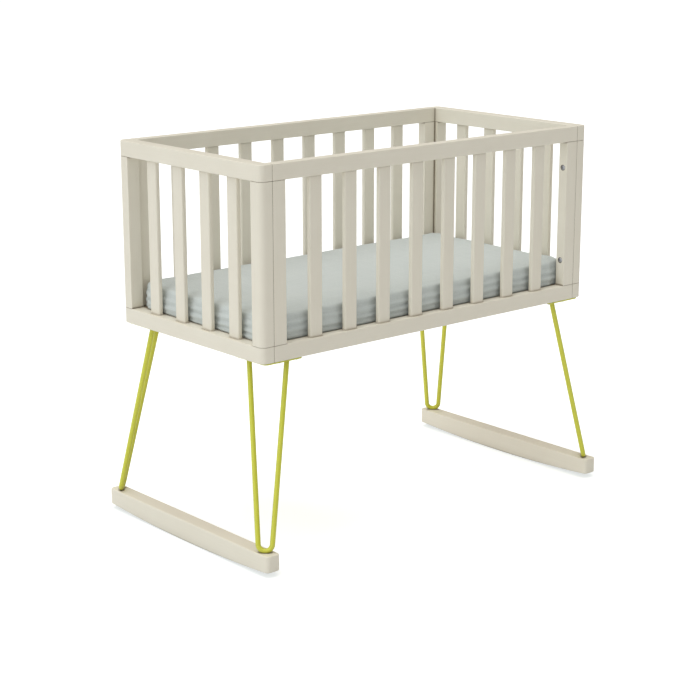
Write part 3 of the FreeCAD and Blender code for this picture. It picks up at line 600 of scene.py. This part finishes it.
def weld_bead(mesh, end, axis, top):
    """A rippled fillet of weld between a rod's end and the plate above it."""
    rings = []
    count = 64
    for k in range(count):
        angle = 2 * math.pi * k / count
        level_out = Vector((math.cos(angle), math.sin(angle), 0))
        # the rod's own outline where it meets the plate, an ellipse drawn out along its lean
        lean = Vector((axis.x, axis.y, 0)) / axis.z
        spread = level_out * ROD_RADIUS
        spread += lean * (level_out.dot(lean)) * ROD_RADIUS / 2
        ripple = (1.0 + 0.10 * math.sin(15 * angle + end.x * 900)
                  + 0.05 * math.sin(4 * angle + end.y * 700))
        leg = WELD_LEG * ripple
        edge = end + spread
        edge.z = top
        down = -axis
        ring = []
        for share in (0.0, 0.2, 0.4, 0.6, 0.8, 1.0):
            sag = 0.25 * math.sin(share * math.pi) * leg
            spot = edge + level_out * leg * (1 - share) + down * leg * 1.15 * share
            spot += (level_out - Vector((0, 0, 1))) * sag * 0.5
            ring.append(spot)
        ring.append(edge - level_out * WELD_ROOT + down * leg * 1.1)
        ring.append(edge - level_out * WELD_ROOT)
        rings.append(ring)
    loft(mesh, rings, capped=False)


# ---- screws and bolts ----

def socket_screw(mesh, seat, way, head, height, shank, length, key, pitch):
    """A domed cap screw with a hexagon socket; its head sits on seat and faces way."""
    first = way.orthogonal().normalized()
    second = way.cross(first)
    sides = 36

    def ring(radius, up, hexagon=False):
        points = []
        for k in range(sides):
            angle = 2 * math.pi * k / sides
            far = radius
            if hexagon:
                turn = (angle + math.pi / 6) % (math.pi / 3) - math.pi / 6
                far = radius * math.cos(math.pi / 6) / math.cos(turn)
            points.append(seat + way * up + far * (math.cos(angle) * first + math.sin(angle) * second))
        return points

    rings = [ring(shank * 0.25, -length), ring(shank * 0.42, -length + shank * 0.12)]
    grooves = max(1, int((length - shank * 0.4) / pitch))
    for k in range(grooves):
        level = -length + shank * 0.2 + k * pitch
        for wide, up in ((0.5, 0.0), (0.5, 0.2), (0.43, 0.55), (0.43, 0.7)):
            rings.append(ring(shank * wide, level + pitch * up))
    rings += [ring(shank * 0.5, -shank * 0.15), ring(shank * 0.55, 0.0)]
    # over the dome, then down into the socket, as shares of the head's sizes
    for wide, up in ((0.47, 0.0), (0.5, 0.06), (0.5, 0.24), (0.485, 0.42), (0.44, 0.66),
                     (0.37, 0.86), (0.30, 0.97), (0.27, 1.0)):
        rings.append(ring(head * wide, height * up))
    rings.append(ring(key * 0.60, height))
    for wide, up in ((0.575, 0.97), (0.56, 0.9), (0.56, 0.42), (0.50, 0.38)):
        rings.append(ring(key * wide, height * up, True))
    rings.append(ring(key * 0.12, height * 0.30))
    loft(mesh, rings)


def fasteners(name, node, seats, sizes):
    """All the screws of one kind, in place of that CAD node."""
    mesh = bmesh.new()
    for seat, way in seats:
        socket_screw(mesh, Vector(seat), Vector(way), **sizes)
    piece = finished(mesh, name, ZINC, "cradle")
    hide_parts(node)


def bolt_seats():
    seats = []
    for panel in ("side_front", "side_back"):
        for hand in ("a", "b"):
            stile_low, stile_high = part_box("%s_stile_%s" % (panel, hand))
            middle = (stile_low + stile_high) / 2
            # the head sits in a shallow bore in the stile's inner side
            if middle.x > 0:
                seat, way = stile_high.x - BOLT_SEAT, -1
            else:
                seat, way = stile_low.x + BOLT_SEAT, 1
            for up in (-1, 1):
                seats.append(((seat, middle.y, middle.z + up * BOLT_SPACING / 2), (way, 0, 0)))
    return seats


def bracket_screw_seats():
    seats = []
    for side, x_way in (("left", -1), ("right", 1)):
        for corner, y_way in (("front", -1), ("back", 1)):
            low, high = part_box("bracket_%s_%s" % (side, corner))
            edge_x = low.x if x_way < 0 else high.x
            edge_y = low.y if y_way < 0 else high.y
            for step in (SCREW_NEAR, SCREW_FAR):
                for in_x, in_y in ((step, SCREW_ACROSS), (SCREW_ACROSS, step)):
                    seats.append(((edge_x - x_way * in_x, edge_y - y_way * in_y, low.z), (0, 0, -1)))
    return seats


# ---- the mattress ----

def rounded_block(name, half_long, half_wide, low, high, corner, foot_edge, head_edge):
    """A block with rounded upright corners and rounded bottom and top edges."""
    mesh = bmesh.new()
    rings = []
    turns = 8
    corner_steps = 12
    for level in range(2 * turns + 2):
        if level <= turns:
            angle = math.pi / 2 * level / turns
            inset = foot_edge * (1 - math.sin(angle))
            z = low + foot_edge * (1 - math.cos(angle))
        else:
            angle = math.pi / 2 * (level - turns - 1) / turns
            inset = head_edge * (1 - math.cos(angle))
            z = high - head_edge * (1 - math.sin(angle))
        ring = []
        for x_way, y_way, start in ((1, 1, 0), (-1, 1, 1), (-1, -1, 2), (1, -1, 3)):
            for k in range(corner_steps + 1):
                bend = math.pi / 2 * (start + k / corner_steps)
                ring.append((x_way * (half_long - corner) + (corner - inset) * math.cos(bend),
                             y_way * (half_wide - corner) + (corner - inset) * math.sin(bend), z))
        rings.append(ring)
    loft(mesh, rings)
    return finished(mesh, name, COTTON, None)


def worked_in(piece):
    """The mesh that the piece's modifiers give, which are then taken off it."""
    ready = piece.evaluated_get(bpy.context.evaluated_depsgraph_get())
    shape = bpy.data.meshes.new_from_object(ready)
    piece.modifiers.clear()
    return shape


def stuff(piece, low, high):
    """Blows the cover up a little, as cloth under pressure, with its foot held on the board."""
    group = piece.vertex_groups.new(name="lies_flat")
    group.add([v.index for v in piece.data.vertices if v.co.z < low.z + 0.004], 1.0, "REPLACE")
    cloth = piece.modifiers.new("stuffed", "CLOTH")
    cloth.settings.quality = 5
    cloth.settings.mass = 0.3
    cloth.settings.tension_stiffness = 12
    cloth.settings.compression_stiffness = 12
    cloth.settings.shear_stiffness = 6
    cloth.settings.bending_stiffness = 0.4
    cloth.settings.use_pressure = True
    cloth.settings.uniform_pressure_force = 4.0
    cloth.settings.effector_weights.gravity = 0.0
    cloth.settings.vertex_group_mass = "lies_flat"
    cloth.collision_settings.use_collision = False
    cloth.collision_settings.use_self_collision = False
    cloth.point_cache.frame_start = 1
    cloth.point_cache.frame_end = CLOTH_STEPS
    for step in range(1, CLOTH_STEPS + 1):
        bpy.context.scene.frame_set(step)
    blown = worked_in(piece)
    piece.vertex_groups.clear()
    bpy.context.scene.frame_set(1)
    for vertex, end in zip(piece.data.vertices, blown.vertices):
        # the top crowns, and the sides stay between the rails
        cap = TOP_CROWN if vertex.co.z > high.z - 0.02 else SIDE_PUFF
        move = end.co - vertex.co
        if move.length > cap:
            move = move.normalized() * cap
        vertex.co += move


def wrinkle_depth(along, height):
    """How far a fold of the loose side of the cover stands in or out, in metres."""
    level = height + 0.10 * noise.noise(Vector((along * 7.0, 3.7, 0.0)))
    fold = 0.0
    for middle, width, depth, seed in FOLDS:
        shift = 0.06 * noise.noise(Vector((along * 9.0, seed, 2.0)))
        weight = max(0.25, 0.85 + 1.0 * noise.noise(Vector((along * 6.0, seed, 9.0))))
        fold += depth * weight * math.exp(-((level - middle - shift) / width) ** 2)
    fine = noise.noise(Vector((along * 26.0, height * 9.0, 4.0)))
    return fold + 0.0004 * fine


def smooth_step(value, low, high):
    share = max(0.0, min(1.0, (value - low) / (high - low)))
    return share * share * (3 - 2 * share)


def slat_places():
    """Where the slats press on the cover: along each end and along each side."""
    places = {}
    for panel, axis in (("end_left", 1), ("end_right", 1), ("side_front", 0), ("side_back", 0)):
        spots = []
        for name in frame["nodes"]:
            if name.startswith(panel + "_slat"):
                low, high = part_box(name)
                spots.append((low[axis] + high[axis]) / 2)
        places[panel] = spots
    return places


def pressed_in(along, spots):
    """1 behind a slat, fading to 0 between the slats."""
    nearest = min(abs(along - spot) for spot in spots)
    return 1.0 - smooth_step(nearest, 0.012, 0.024)


def held_by_frame(spot, high, places, rail_top):
    """Keeps the cover inside the rails and posts, and lets it bulge towards the slats between them."""
    for axis, other, bulge, window in ((0, 1, END_BULGE, END_WINDOW), (1, 0, SIDE_BULGE, SIDE_WINDOW)):
        inside = high[axis]
        start = inside - HOLD_DEPTH
        if abs(spot[axis]) <= start:
            continue
        if axis == 0:
            panel = "end_left" if spot.x < 0 else "end_right"
        else:
            panel = "side_front" if spot.y < 0 else "side_back"
        way = 1 if spot[axis] > 0 else -1
        clear = 1.0 - smooth_step(abs(spot[other]), window - 0.010, window + 0.004)
        ruck = noise.noise(Vector((spot[other] * 22.0, spot.z * 30.0, axis + way * 3.0)))
        limit = inside + COVER_GAP + bulge * clear
        limit -= clear * (SLAT_DENT * pressed_in(spot[other], places[panel]) * (1.0 + 0.8 * ruck)
                          + RUCK_DENT * (1.0 + ruck))
        reach = inside + COVER_GAP + bulge
        far = start + (abs(spot[axis]) - start) * (limit - start) / (reach - start)
        spot[axis] = way * far
        if clear > 0.05 and far > inside + 0.0012:
            # what hangs over the rail lies on its top
            spot.z = max(spot.z, rail_top + 0.0003)


def folds_and_dips(spot, face_x, face_y, low, high):
    """Folds the cover's loose sides, and dips its top slowly, as the foam under it does."""
    core = Vector((max(-(face_x - COVER_CORNER), min(face_x - COVER_CORNER, spot.x)),
                   max(-(face_y - COVER_CORNER), min(face_y - COVER_CORNER, spot.y)), spot.z))
    outward = spot - core
    far = outward.length
    height = (spot.z - low.z) / (high.z - low.z)
    if far > COVER_CORNER * 0.55:
        along = math.atan2(spot.y * 2, spot.x) * 0.38
        if abs(spot.y) > face_y - COVER_CORNER:
            along = spot.x
        elif abs(spot.x) > face_x - COVER_CORNER:
            along = 2.0 + spot.y
        side_share = min(1.0, (far / COVER_CORNER - 0.55) / 0.35)
        band = max(0.0, min(1.0, height / 0.08)) * max(0.0, min(1.0, (0.93 - height) / 0.2))
        spot += outward.normalized() * wrinkle_depth(along, height) * side_share * band
    elif height > 0.5:
        spot.z += 0.0007 * noise.noise(Vector((spot.x * 9.0, spot.y * 9.0, 1.0)))


def mattress_cushion():
    low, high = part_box("mattress")
    rail_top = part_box("end_left_bottom_rail")[1].z
    places = slat_places()
    face_x = high.x + COVER_PAST_END
    face_y = high.y + COVER_PAST_SIDE
    piece = rounded_block("mattress_cushion", face_x, face_y, low.z + 0.0002, high.z - 0.0025,
                          COVER_CORNER, 0.003, 0.009)
    voxels = piece.modifiers.new("even", "REMESH")
    voxels.mode = "VOXEL"
    voxels.voxel_size = CLOTH_SPACING
    voxels.use_smooth_shade = True
    piece.data = worked_in(piece)
    stuff(piece, low, high)
    finer = piece.modifiers.new("finer", "SUBSURF")
    finer.levels = 1
    finer.render_levels = 1
    piece.data = worked_in(piece)
    for vertex in piece.data.vertices:
        spot = vertex.co.copy()
        folds_and_dips(spot, face_x, face_y, low, high)
        held_by_frame(spot, high, places, rail_top)
        spot.z = max(spot.z, low.z + 0.00005)
        vertex.co = spot
    piece.data.materials.clear()
    piece.data.materials.append(COTTON)
    piece.data.polygons.foreach_set("use_smooth", [True] * len(piece.data.polygons))
    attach(piece, "mattress")
    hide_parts("mattress")


# ---- put the object together ----

def finish_for(name):
    """The finish of a CAD node, by its name."""
    if name in ("panel_bolts", "batten_screws", "bracket_screws", "skid_screws"):
        return ZINC
    if name == "threaded_inserts":
        return BRASS
    if name == "mattress_base":
        return BIRCH
    if name == "mattress":
        return COTTON
    if name.endswith("batten"):
        return BEECH
    if name.startswith(("bracket", "leg")):
        return LIME
    if name.startswith("side") and name.endswith("rail"):
        return LACQUER["long rail"]
    if name.startswith("skid") or name.startswith("end") and name.endswith("rail"):
        return LACQUER["cross rail"]
    return LACQUER["slat" if "_slat_" in name else "post"]


def dress_frame():
    for name, node in frame["nodes"].items():
        for place in node.material_slots:
            place.material = finish_for(name)


dress_frame()
for side in ("left", "right"):
    for corner in ("front", "back"):
        hairpin_leg(side, corner)
fasteners("panel_bolt_set", "panel_bolts", bolt_seats(), PANEL_BOLT)
fasteners("bracket_screw_set", "bracket_screws", bracket_screw_seats(), BRACKET_SCREW)
mattress_cushion()


# ---- floor, light and camera ----

def stage_floor():
    mesh = bmesh.new()
    half_run = 9
    just_below = -0.0002
    for x, y in ((-1, -1), (1, -1), (1, 1), (-1, 1)):
        mesh.verts.new((x * half_run, y * half_run, just_below))
    mesh.faces.new(mesh.verts)
    floor = finished(mesh, "studio_floor", plain_floor(), None, False)


def glow(tree, toward, way, power, strength):
    """Light that is strongest from one direction and fades away round it."""
    facing = put(tree, "VectorMath", {0: toward, 1: Vector(way).normalized()}, operation="DOT_PRODUCT")
    lit = sums(tree, "POWER", sums(tree, "MAXIMUM", facing.outputs["Value"], 0.0), power)
    return sums(tree, "MULTIPLY", lit, strength)


def hang_lamp(name, kind, power, colour, back):
    """A lamp that shines away from the direction of its back."""
    lamp = bpy.data.lights.new(name, kind)
    lamp.energy = power
    lamp.color = colour
    hung = bpy.data.objects.new(name, lamp)
    bpy.context.scene.collection.objects.link(hung)
    hung.rotation_euler = Vector(back).to_track_quat("Z", "Y").to_euler()
    return lamp, hung


def light_the_room():
    """A white tent: brightest overhead and on the left, with a large soft lamp above."""
    world = bpy.data.worlds.new("studio")
    bpy.context.scene.world = world
    world.use_nodes = True
    tree = world.node_tree
    sky = tree.nodes["Background"]
    toward = put(tree, "TexCoord").outputs["Generated"]
    above = glow(tree, toward, (0, 0, 1), 3.0, 0.85)
    left = glow(tree, toward, (-1, -0.05, 0.10), 3.0, 1.08)
    tent = sums(tree, "ADD", sums(tree, "ADD", above, left), 0.255)
    seen = put(tree, "LightPath").outputs["Is Camera Ray"]
    share = sums(tree, "DIVIDE", left, tent)
    colour = tint(tree, share, (1.0, 0.960, 0.895, 1), (0.955, 1.0, 1.02, 1))
    feed(tree, sky.inputs["Color"], tint(tree, seen, colour, (1, 1, 1, 1)))
    # the camera sees the tent itself as plain white
    white = 1.05
    feed(tree, sky.inputs["Strength"], put(tree, "Mix", {0: seen, 2: tent, 3: white}).outputs[0])
    overhead = hang_lamp("overhead_lamp", "SUN", 0.95, (1.0, 0.995, 0.98), (-0.12, 0.10, 1.0))[0]
    overhead.angle = math.radians(46)
    # a weak reflector under the box, which faces the far skid
    reflector, hung = hang_lamp("low_reflector", "AREA", 0.34, (1.0, 0.99, 0.975), (-0.50, 0.03, 0.24))
    reflector.shape = "DISK"
    reflector.size = 0.30
    hung.location = (-0.05, 0.13, 0.26)
    hung.visible_camera = False


def set_camera():
    level = math.cos(CAMERA_RISE)
    back = Vector((math.sin(CAMERA_TURN) * level, -math.cos(CAMERA_TURN) * level,
                   math.sin(CAMERA_RISE)))
    lens = bpy.data.cameras.new("camera")
    lens.lens = CAMERA_LENS
    lens.sensor_width = 36.0
    eye = bpy.data.objects.new("camera", lens)
    bpy.context.scene.collection.objects.link(eye)
    eye.location = CAMERA_SPOT
    eye.rotation_euler = back.to_track_quat("Z", "Y").to_euler()
    bpy.context.scene.camera = eye


stage_floor()
light_the_room()
set_camera()
bpy.context.scene.view_settings.view_transform = "Standard"
